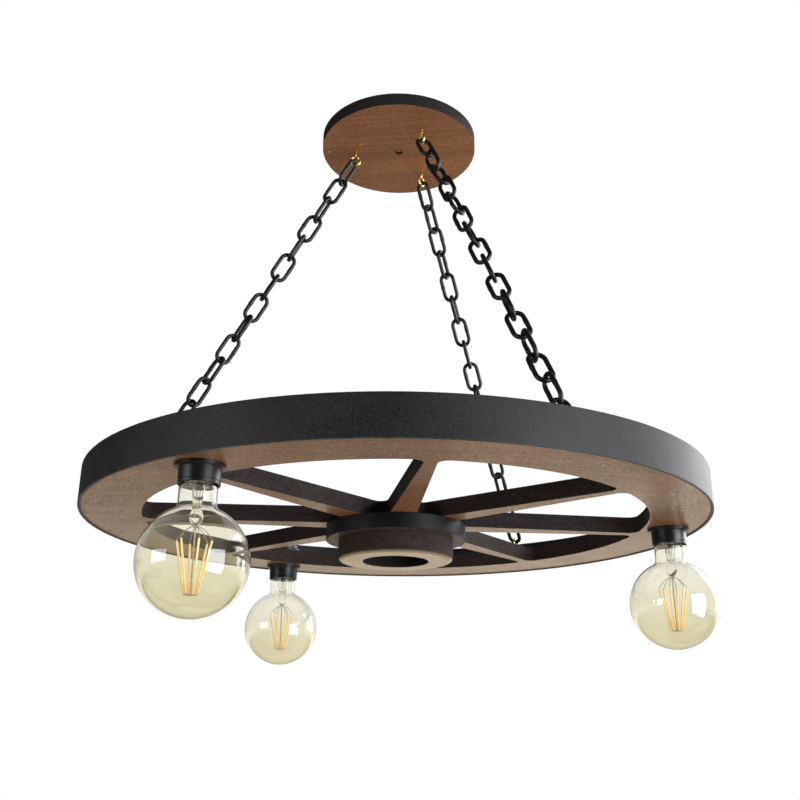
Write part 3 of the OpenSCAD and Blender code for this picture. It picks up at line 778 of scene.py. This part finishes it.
class CHANDELIER_OT_screw_eyes(bpy.types.Operator):
    """Bends the six brass screw eyes from wire"""
    bl_idname = "chandelier.screw_eyes"
    bl_label = "Screw eyes"

    def execute(self, context):
        eye = context.scene.chandelier.eye
        wire_r = eye.wire / 2
        collar_r = wire_r + 0.0003
        # The ring: a circle of wire spun round the ring's middle, left a little open
        deselect()
        bpy.ops.mesh.primitive_circle_add(vertices=16, radius=wire_r, fill_type="NGON",
                                          location=(0, 0, eye.rise - eye.ring),
                                          rotation=(0, pi / 2, 0))
        ring = settled("eye_ring")
        edit()
        take_all()
        bpy.ops.mesh.spin(steps=40, angle=radians(344), center=(0, 0, eye.rise),
                          axis=(0, -1, 0))
        merge_doubles(SAME_POINT)
        face_outward()
        # The shank: neck, collar on the wood, and the point
        neck_top, point = eye.rise - eye.ring, 0.002
        shank = lathe("eye_shank", [
            (0, neck_top), (wire_r * 0.9, neck_top), (collar_r, neck_top - 0.0012),
            (collar_r, 0.0), (wire_r, -0.0001), (wire_r, -eye.shank + point),
            (wire_r / 4, -eye.shank), (0, -eye.shank)], 32)
        pick(ring)
        apply_modifier(ring, "BOOLEAN", operation="UNION", solver="EXACT", object=shank)
        drop(shank)
        for k in CHAINS:
            for side, body in (("canopy", "ceiling"), ("rim", "wheel")):
                node = f"{side}_eye_{k}"
                low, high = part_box(node)
                centre = (low + high) / 2
                turn = Matrix.Rotation(atan2(centre.y, centre.x), 4, "Z")
                if side == "canopy":
                    foot = low.z + wire_r + eye.ring + eye.rise
                    flip = Matrix.Rotation(pi, 4, "X")
                else:
                    foot = high.z - wire_r - eye.ring - eye.rise
                    flip = Matrix.Identity(4)
                place = Matrix.Translation((centre.x, centre.y, foot)) @ turn @ flip
                piece = placed_copy(ring, f"{side}_screw_eye_{k}", place)
                finish_piece(piece, body, node, "bright_brass")
        drop(ring)
        return {"FINISHED"}


class CHANDELIER_OT_chains(bpy.types.Operator):
    """Bends one welded link and hangs the three twisted chains from it"""
    bl_idname = "chandelier.chains"
    bl_label = "Chains"

    def one_link(self, chain):
        """A link in the XZ plane: wire spun round one end, drawn down, and spun round the
        other."""
        r = (chain.link_width - chain.wire) / 2
        half = (chain.link_length - chain.link_width) / 2
        deselect()
        bpy.ops.mesh.primitive_circle_add(vertices=14, radius=chain.wire / 2,
                                          fill_type="NOTHING", location=(r, 0, half))
        link = settled("link")
        edit()
        take_all()
        bpy.ops.mesh.spin(steps=14, angle=pi, center=(0, 0, half), axis=(0, 1, 0))
        extrude("region", (0, 0, -2 * half))
        bpy.ops.mesh.spin(steps=14, angle=pi, center=(0, 0, -half), axis=(0, 1, 0))
        # Up the other side: each step's share of it, and the wire's size against the step
        # before, which swells at the weld in the middle
        bulge = 0.97 * (1 + chain.weld / (chain.wire / 2))
        for share, size in ((0.42, 1.0), (0.04, bulge), (0.04, 1.03), (0.04, 1.0),
                            (0.04, 1 / 1.03), (0.42, 1 / bulge)):
            extrude("region", (0, 0, 2 * half * share))
            if size != 1.0:
                bpy.ops.transform.resize(value=(size, size, 1.0))
        merge_doubles(chain.wire / 60)
        face_outward()
        return link

    def execute(self, context):
        chain = context.scene.chandelier.chain
        eye = context.scene.chandelier.eye
        link = self.one_link(chain)
        first_turns = (radians(-15), radians(-12), radians(-10))
        for k in CHAINS:
            upper, lower = middle(f"canopy_eye_{k}"), middle(f"rim_eye_{k}")
            reach = eye.ring + eye.wire / 2
            top = Vector((upper.x, upper.y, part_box(f"canopy_eye_{k}")[0].z + reach))
            low = Vector((lower.x, lower.y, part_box(f"rim_eye_{k}")[1].z - reach))
            out = (low - top).xy.length
            lean = atan2(out, top.z - low.z)
            outward = Matrix.Rotation(atan2(top.y, top.x), 4, "Z")
            hang = Matrix.Translation(top) @ outward @ Matrix.Rotation(-lean, 4, "Y")
            links = []
            for i in range(chain.count):
                down = chain.first + i * chain.pitch + (chain.link_length - chain.wire) / 2
                turn = radians(90) + first_turns[k - 1] + i * chain.twist
                place = hang @ Matrix.Translation((0, 0, -down)) @ Matrix.Rotation(turn, 4, "Z")
                links.append(placed_copy(link, f"link_{k}_{i + 1}", place))
            whole = joined(links, f"link_chain_{k}")
            finish_piece(whole, f"links_{k}", f"chain_{k}", "chain_paint", 60)
        drop(link)
        return {"FINISHED"}


class CHANDELIER_OT_holders(bpy.types.Operator):
    """Turns the three lamp holders, with their shade rings and lock nuts"""
    bl_idname = "chandelier.holders"
    bl_label = "Lamp holders"

    def body(self, holder):
        """The resin body, open below, with a groove near its mouth and a neck on top."""
        r, low, top = holder.radius, -holder.drop, holder.top
        mouth, bore, seat, seat_low = 0.0171, 0.0141, 0.0120, 0.0159
        groove, round_r, neck, neck_h, lead_hole = 0.0005, 0.003, 0.006, 0.005, 0.0035
        return lathe("holder_shape", [
            (mouth, low + 0.0006), (mouth + 0.0004, low), (r - 0.0006, low), (r, low + 0.0006),
            (r, low + 0.0026), (r - groove, low + 0.0030), (r - groove, low + 0.0036),
            (r, low + 0.0040), (r, top - round_r)]
            + arc((r - round_r, top - round_r), round_r, 8, 90, 8)
            + [(neck + 0.0008, top), (neck, top + 0.0008), (neck, top + neck_h - 0.0006),
               (neck - 0.0006, top + neck_h), (lead_hole, top + neck_h),
               (lead_hole, top - 0.002),
               (seat, top - 0.002), (seat, seat_low), (bore, seat_low),
               (bore, low + 0.005), (mouth, low + 0.005)], 72)

    def ring(self, name, low, high, holder):
        """A clamping ring that is chamfered below and has finger notches round its edge."""
        inner, outer, sides = holder.radius + 0.0001, 0.02225, 96
        rim = outer - 0.0004
        piece = lathe(name, [
            (inner, low), (outer - 0.0012, low), (rim, low + 0.0008), (rim, high - 0.0003),
            (outer - 0.0007, high), (inner, high)], sides)
        pick(piece)
        edit("FACE")

        def notch(face):
            c = face.calc_center_median()
            step = int((atan2(c.y, c.x) % (2 * pi)) / (2 * pi / sides))
            return (c.xy.length > outer - 0.0006 and low + 0.0009 < c.z < high - 0.0004
                    and step % 4 < 2)

        select_where(notch, "faces")
        bpy.ops.mesh.extrude_region_shrink_fatten(
            TRANSFORM_OT_shrink_fatten={"value": 0.00035})
        leave_edit()
        return piece

    def execute(self, context):
        holder = context.scene.chandelier.holder
        body, wheel_top = self.body(holder), TOP_Z - UNDERSIDE_Z
        shade_ring = self.ring("ring_shape", -0.0036, 0.0, holder)
        nut = self.ring("nut_shape", wheel_top, wheel_top + 0.004, holder)
        for k in LAMPS:
            at = Matrix.Translation(lamp_place(k))
            for shape, name, node in ((body, "lamp_cup", "holder_body"),
                                      (shade_ring, "shade_ring", "holder_ring"),
                                      (nut, "lock_nut", "holder_nut")):
                piece = placed_copy(shape, f"{name}_{k}", at)
                finish_piece(piece, "wheel", f"{node}_{k}", "resin")
            eased_pieces("wheel", [
                (f"holder_{part}_{k}", f"socket_{part}_{k}", 0.0001, slot, finish)
                for part, slot, finish in (("shell", "brass", "bright_brass"),
                                           ("plug", "ceramic", "glazed_ceramic"),
                                           ("contact", "brass", "bright_brass"))], flat=False)
        for shape in (body, shade_ring, nut):
            drop(shape)
        return {"FINISHED"}


class CHANDELIER_OT_bulbs(bpy.types.Operator):
    """Blows the three globes and fits their caps, stems, wires and filaments"""
    bl_idname = "chandelier.bulbs"
    bl_label = "Bulbs"

    cap_low, cap_high, tip = -0.0175, 0.0035, 0.0095    # over the wheel's underside
    cone_high = tip - 0.0016    # where the insulator ends and the tip starts
    # A filament stick's ends, from the globe's middle
    stick_top, stick_low = Vector((0.015, 0, 0.017)), Vector((0.006, 0, -0.026))
    stick_way = (stick_top - stick_low).normalized()
    sixths = [Matrix.Rotation(i * pi / 3, 4, "Z") for i in range(6)]

    def half(self, inset, neck):
        """The glass's outline from the globe's bottom up to its end in the cap, with the
        bend into the neck and the shoulder over it."""
        r, n, bend = GLOBE_R - inset, neck - inset, 0.006 + inset
        rise = sqrt((r + bend) ** 2 - (n + bend) ** 2)
        turn = atan2(rise, n + bend) * 180 / pi
        shoulder_r = 0.0042
        round_r, end_r = shoulder_r - inset, 0.0113 - inset
        shoulder = GLOBE_DROP + self.cap_low - shoulder_r
        points = arc((0, 0), r, -90, turn, 64)
        points[0] = (0.0, -r)
        points += arc((n + bend, rise), bend, 180 + turn, 180, 10)[1:]
        points += [(n, shoulder - 0.0001)] + arc((n - round_r, shoulder), round_r, 0, 78, 8)
        return points + [(end_r, shoulder + 0.0046), (end_r, shoulder + 0.0102 + inset)]

    def globe(self, bulb):
        outer = self.half(0.0, bulb.neck)
        inner = self.half(bulb.wall, bulb.neck)
        return lathe("globe_shape", outer + inner[::-1], 128, closed=False)

    def cap(self):
        """The thin cap with its rolled thread: one turn's wave, screwed up and cut off level."""
        pitch, wave, base, steps, near = 0.0036, 0.0011, 0.0120, 12, 1e-6
        flare, skirt, shoulder = 0.0008, 0.0020, 0.0004
        thread_low = self.cap_low + flare + skirt
        cap = first_point("cap_shape", (base, 0, -0.5 * pitch))
        for i in range(steps):
            a, b = (0.5 * wave * (1 - cos(2 * pi * j / steps)) for j in (i, i + 1))
            extrude("vertices", (b - a, 0, pitch / steps))
        leave_edit()
        apply_modifier(cap, "SCREW", angle=2 * pi, screw_offset=pitch, iterations=7, steps=64,
                       render_steps=64, use_merge_vertices=True, merge_threshold=near)
        edit()
        merge_doubles(near)
        bpy.ops.transform.translate(value=(0, 0, self.cap_low))
        for height, way in ((thread_low, -1), (self.cap_high - shoulder, 1)):
            take_all()
            bpy.ops.mesh.bisect(plane_co=(0, 0, height), plane_no=(0, 0, way),
                                clear_outer=True)
        # The plain skirt below the thread, drawn down from the lower cut
        select_where(lambda v: v.co.z < thread_low + near)
        extrude("edges", (0, 0, -flare))
        draw_to_radius(base)
        extrude("edges", (0, 0, -skirt))
        # The shoulder that is rolled in over the black insulator
        select_where(lambda v: v.co.z > self.cap_high - shoulder - near)
        extrude("edges", (0, 0, shoulder))
        draw_to_radius(base - 0.0001)
        face_outward()
        apply_modifier(cap, "SOLIDIFY", thickness=0.0005, offset=-1.0)
        return cap

    def base_cone(self):
        """The black glass insulator between cap and tip."""
        low, high = self.cap_high, self.cone_high
        return lathe("base_shape", [
            (0, low - 0.002), (0.0109, low - 0.002), (0.0109, low + 0.00005),
            (0.0107, low + 0.0003), (0.0088, low + 0.0022), (0.0060, high - 0.0004),
            (0.0052, high), (0, high)], 64)

    def tip_contact(self):
        """The domed tip with its drop of solder."""
        low = self.cone_high
        return lathe("tip_shape", [
            (0, low), (0.0047, low), (0.0048, low + 0.0004), (0.0042, low + 0.0011),
            (0.0026, low + 0.0013), (0.0018, low + 0.0015), (0.0008, low + 0.0016),
            (0, low + 0.0016)], 48)

    def stem(self):
        """The flared stem tube with its swollen pinch, hollow down to the pinch."""
        flange, wall = GLOBE_DROP + self.cap_low + 0.0060, 0.0009
        outer = [(0.0101, flange), (0.0086, flange - 0.0016), (0.0064, flange - 0.0046),
                 (0.0054, flange - 0.0090), (0.0050, flange - 0.0160), (0.0043, 0.0475),
                 (0.0040, 0.0450), (0.0048, 0.0425), (0.0056, 0.0400), (0.0059, 0.0372),
                 (0.0054, 0.0345), (0.0040, 0.0322), (0.0028, 0.0308), (0.0022, 0.0300)]
        inner = [(r - wall, z) for r, z in outer[:6]] + [(0.0016, 0.0455), (0.0, 0.0450)]
        return lathe("stem_shape", [(0.0, 0.0300)] + outer[::-1] + inner, 48, closed=False)

    def exhaust(self):
        """The thin tube down the middle of the stem."""
        bore, r, low, high = 0.0013, 0.0018, 0.0462, 0.0690
        return lathe("exhaust_shape", [(bore, low), (r, low), (r, high), (bore, high)], 24)

    def sticks(self):
        """Six filament sticks: rods with inset, eased ends."""
        top, low, way = self.stick_top, self.stick_low, self.stick_way
        deselect()
        bpy.ops.mesh.primitive_cylinder_add(vertices=12, radius=0.00095,
                                            depth=(top - low).length, location=(0, 0, 0))
        stick = named(bpy.context.object, "stick_shape")
        edit("FACE")
        select_where(lambda f: abs(f.normal.z) > 0.9, "faces")
        bpy.ops.mesh.inset(thickness=0.0003)
        leave_edit()
        apply_modifier(stick, "BEVEL", width=0.0002, segments=2, limit_method="ANGLE",
                       angle_limit=radians(50))
        lean = Matrix.Rotation(atan2(way.x, way.z), 4, "Y")
        copies = [placed_copy(stick, f"stick_{i}",
                              turn @ Matrix.Translation((top + low) / 2) @ lean)
                  for i, turn in enumerate(self.sixths)]
        drop(stick)
        return joined(copies, "sticks_shape")

    def wires(self):
        """Support wires from the pinch to each stick, the star that joins the lower ends, and
        the thicker wire down the middle."""
        top, low, way = self.stick_top, self.stick_low, self.stick_way
        grip, clear = 0.0010, 0.0012    # how far a wire is in a stick, and goes on past it
        upper_knot, lower_knot = Vector((0, 0, 0.0287)), Vector((0, 0, -0.0275))
        strands = []
        for turn in self.sixths:
            high_end, low_end = top + way * clear, low - way * clear
            strands.append([turn @ p for p in (
                top - way * grip, high_end, high_end + Vector((-0.0010, 0, 0.0012)),
                Vector((0.0085, 0, 0.0262)), Vector((0.0030, 0, 0.0292)), upper_knot)])
            strands.append([turn @ p for p in (
                low + way * grip, low_end, low_end + Vector((-0.0012, 0, -0.0002)),
                Vector((0.0022, 0, -0.0278)), lower_knot)])
        strands.append([lower_knot, Vector(), upper_knot])
        curve = bpy.data.curves.new("wires_shape", "CURVE")
        curve.dimensions = "3D"
        curve.bevel_depth = 0.00035
        curve.bevel_resolution = 2
        curve.use_fill_caps = True
        for points in strands:
            spline = curve.splines.new("POLY")
            spline.points.add(len(points) - 1)
            for slot, p in zip(spline.points, points):
                slot.co = (*p, 1.0)
                slot.radius = 2.0 if points is strands[-1] else 1.0
        obj = bpy.data.objects.new("wires_shape", curve)
        bpy.context.scene.collection.objects.link(obj)
        pick(obj)
        bpy.ops.object.convert(target="MESH")
        return bpy.context.object

    def execute(self, context):
        bulb = context.scene.chandelier.bulb
        in_cap, in_globe = Vector(), Vector((0, 0, -GLOBE_DROP))
        shapes = (
            (self.globe(bulb), "globe", "bulb_glass", "glass_amber", "amber_glass",
             in_globe, 50),
            (self.cap(), "screw_cap", "bulb_cap", "nickel", "nickel_plate", in_cap, 50),
            (self.base_cone(), "cap_insulator", "bulb_base", "bakelite", "resin", in_cap, 40),
            (self.tip_contact(), "cap_tip", "bulb_tip", "nickel", "nickel_plate", in_cap, 40),
            (self.stem(), "glass_stem", "bulb_stem", "glass_amber", "stem_glass", in_globe, 60),
            (self.exhaust(), "exhaust_tube", None, "glass_amber", "stem_glass", in_globe, 60),
            (self.sticks(), "filament_sticks", "bulb_filaments", "filament",
             "filament_coating", in_globe, 40),
            (self.wires(), "support_wires", "bulb_wires", "nickel", "lead_wire",
             in_globe, 60))
        for shape, name, node, slot, finish, up, angle in shapes:
            for k in LAMPS:
                at = lamp_place(k) + up
                turn = Matrix.Rotation(atan2(at.y, at.x), 4, "Z")
                piece = placed_copy(shape, f"{name}_{k}", Matrix.Translation(at) @ turn)
                finish_piece(piece, f"bulb_{k}", node and f"{node}_{k}", finish, angle)
            drop(shape)
        return {"FINISHED"}


class CHANDELIER_OT_studio(bpy.types.Operator):
    """Sets up the camera, the pale floor and the soft light"""
    bl_idname = "chandelier.studio"
    bl_label = "Studio"

    # The camera that was fitted to the photograph
    eye = Vector((-0.0114, -1.0369, -0.7221))
    yaw, pitch, roll = radians(0.834), radians(19.58), radians(0.377)

    def camera(self, context, studio):
        deselect()
        bpy.ops.object.camera_add(location=self.eye)
        camera = named(context.object, "studio_camera")
        ahead = Vector((sin(self.yaw) * cos(self.pitch), cos(self.yaw) * cos(self.pitch),
                        sin(self.pitch)))
        right = Vector((cos(self.yaw), -sin(self.yaw), 0))
        up = right.cross(ahead)
        right_rolled = cos(self.roll) * right + sin(self.roll) * up
        up_rolled = cos(self.roll) * up - sin(self.roll) * right
        turn = Matrix((right_rolled, up_rolled, -ahead)).transposed().to_4x4()
        camera.matrix_world = Matrix.Translation(self.eye) @ turn
        camera.data.sensor_width = 36.0
        camera.data.lens = studio.focal
        camera.data.clip_start = 0.01
        context.scene.camera = camera

    def soft_light(self, name, place, aim, size, power, colour, diffuse=True, glossy=True):
        """A rectangular light that is never seen itself, also not through glass."""
        deselect()
        bpy.ops.object.light_add(type="AREA", location=place)
        light = named(bpy.context.object, name)
        light.rotation_euler = (Vector(aim) - Vector(place)).to_track_quat("-Z", "Y").to_euler()
        light.data.shape = "RECTANGLE"
        light.data.size, light.data.size_y = size
        light.data.energy = power
        light.data.color = colour
        light.visible_diffuse, light.visible_glossy = diffuse, glossy
        light.visible_camera = light.visible_transmission = False

    def floor(self, studio):
        deselect()
        bpy.ops.mesh.primitive_plane_add(size=14.0, location=(0, 0, -2.3))
        floor = named(bpy.context.object, "paper_floor")
        edit("EDGE")
        take_all()
        bpy.ops.mesh.bevel(offset=1.5, segments=8, affect="VERTICES")
        leave_edit()
        paper, tree, shader, coords = new_material("floor_paper")
        feed(tree, shader, {
            "Base Color": mixed(tree, noise(tree, coords["Object"], 3.0, 4.0),
                                rgba(studio.paper), rgba([0.97 * c for c in studio.paper])),
            "Roughness": 0.85})
        floor.data.materials.append(paper)
        floor.visible_glossy = False    # the sky stands in for it there

    def sky(self, context):
        """White for the camera and through glass. Light and reflections find it bright on the
        right and behind, dim on the camera's side, and warm just below level, where it
        stands in for the floor."""
        world = context.scene.world or bpy.data.worlds.new("studio_world")
        context.scene.world = world
        world.use_nodes = True
        tree = world.node_tree
        tree.nodes.clear()
        way = put(tree, "ShaderNodeTexCoord").outputs["Generated"]
        x, y, z = (axis(tree, way, letter) for letter in "XYZ")
        right = ranged(tree, x, -0.75, 0.95, 0.0, 0.95)
        behind = ranged(tree, y, -0.7, 0.3)
        low = ranged(tree, z, 0.7, 0.2, 0.3, 1.0)
        below = ranged(tree, z, 0.06, -0.10)
        downward = ranged(tree, z, -0.12, -0.30)
        sides = mul(tree, mul(tree, right, behind), low)
        sides = mul(tree, sides, sub(tree, 1.0, mul(tree, downward, 0.55)))
        bright = mul(tree, sub(tree, below, downward), 1.3)
        glow = add(tree, add(tree, sides, mul(tree, bright, behind)), 0.06)
        tone = mixed(tree, below, rgba((0.95, 0.97, 1.0)), rgba((1.0, 0.90, 0.72)))
        room = put(tree, "ShaderNodeBackground", {"Color": tone, "Strength": glow})
        white = put(tree, "ShaderNodeBackground", {"Color": (1, 1, 1, 1), "Strength": 1.0})
        path = tree.nodes.new("ShaderNodeLightPath").outputs
        seen = maths(tree, "MAXIMUM", path["Is Camera Ray"], path["Is Transmission Ray"])
        both = put(tree, "ShaderNodeMixShader", {0: seen, 1: room.outputs[0],
                                                 2: white.outputs[0]})
        out = put(tree, "ShaderNodeOutputWorld", {"Surface": both.outputs[0]})
        out.is_active_output = True

    def execute(self, context):
        studio = context.scene.chandelier.studio
        self.camera(context, studio)
        hub, wheel = (0, 0, -0.5), (-0.1, -0.2, -0.6)
        self.soft_light("window_right", (2.2, 1.2, 0.25), hub, (1.6, 2.0),
                        1.15 * studio.key, (0.97, 0.98, 1.0))
        self.soft_light("window_front", (1.9, -1.55, -0.75), wheel, (1.6, 1.9),
                        2.4 * studio.key, (0.90, 0.95, 1.0), diffuse=False)
        self.soft_light("window_left", (-2.2, -1.5, -0.41), wheel, (1.4, 0.8),
                        0.55 * studio.key, (0.92, 0.96, 1.0), diffuse=False)
        self.soft_light("floor_bounce", (0.3, -0.4, -2.2), hub, (2.4, 2.4),
                        studio.under, (1.0, 0.97, 0.93), glossy=False)
        self.soft_light("floor_wash", (0, 0, -1.55), (0, 0, -3), (9.0, 9.0),
                        studio.wash, (1.0, 0.99, 0.97), glossy=False)
        self.floor(studio)
        self.sky(context)
        context.scene.view_settings.view_transform = "Standard"
        context.scene.view_settings.look = "None"
        return {"FINISHED"}


class CHANDELIER_PT_panel(bpy.types.Panel):
    bl_label = "Wagon wheel chandelier"
    bl_idname = "CHANDELIER_PT_panel"
    bl_space_type = "VIEW_3D"
    bl_region_type = "UI"
    bl_category = "Chandelier"

    def draw(self, context):
        for step in STEPS:
            self.layout.operator(step.bl_idname)


STEPS = (CHANDELIER_OT_wheel, CHANDELIER_OT_tyre, CHANDELIER_OT_hub,
         CHANDELIER_OT_ceiling_plate, CHANDELIER_OT_screw_eyes, CHANDELIER_OT_chains,
         CHANDELIER_OT_holders, CHANDELIER_OT_bulbs, CHANDELIER_OT_studio)
GROUP_CLASSES = (WoodSettings, SteelSettings, ChainSettings, EyeSettings, HolderSettings,
                 BulbSettings, StudioSettings, ChandelierSettings)


def register():
    for cls in GROUP_CLASSES + STEPS + (CHANDELIER_PT_panel,):
        bpy.utils.register_class(cls)
    bpy.types.Scene.chandelier = PointerProperty(type=ChandelierSettings)


def unregister():
    del bpy.types.Scene.chandelier
    for cls in reversed(GROUP_CLASSES + STEPS + (CHANDELIER_PT_panel,)):
        bpy.utils.unregister_class(cls)


def main():
    register()
    bpy.ops.chandelier.wheel()
    bpy.ops.chandelier.tyre()
    bpy.ops.chandelier.hub()
    bpy.ops.chandelier.ceiling_plate()
    bpy.ops.chandelier.screw_eyes()
    bpy.ops.chandelier.chains()
    bpy.ops.chandelier.holders()
    bpy.ops.chandelier.bulbs()
    bpy.ops.chandelier.studio()
    deselect()


if __name__ == "__main__":
    main()
